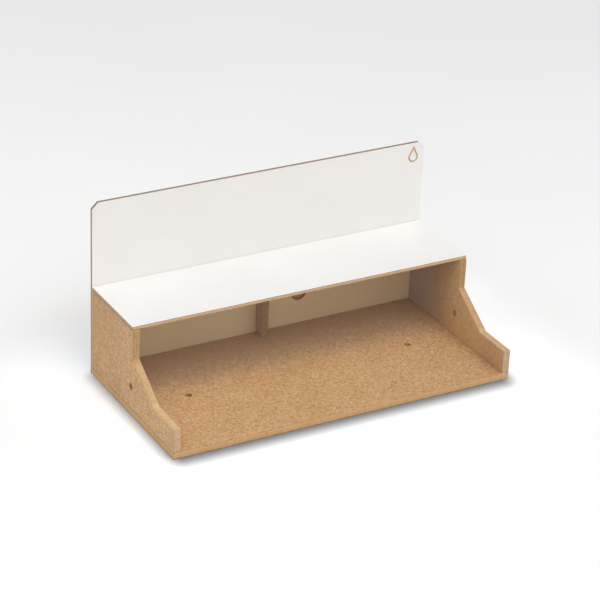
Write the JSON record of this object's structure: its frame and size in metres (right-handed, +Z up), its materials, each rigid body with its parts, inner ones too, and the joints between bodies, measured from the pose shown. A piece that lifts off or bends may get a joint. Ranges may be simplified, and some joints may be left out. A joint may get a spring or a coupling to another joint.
{
  "type": "paint rack organizer",
  "caption": "Open fibreboard bench tray for paints and brushes, with stepped side panels, a raised white rear shelf and a tall white backboard.",
  "frame": {"origin": "on the bench, under the middle of the object's bounding box", "axes": "+X to the right along the width, -Y to the front, +Z up"},
  "size_m": [0.3, 0.15, 0.15],
  "materials": {
    "raw_mdf": "raw, uncoated MDF with a fine speckle and paler sawn edges",
    "white_faced_hdf": "white satin lacquer on the front or upper face, brown HDF edges and rear face"
  },
  "bodies": {
    "root": {"base_board": "raw_mdf", "side_panel_left": "raw_mdf", "side_panel_right": "raw_mdf", "centre_support": "raw_mdf", "rear_shelf": "white_faced_hdf", "backboard": "white_faced_hdf"}
  },
  "joints": []
}
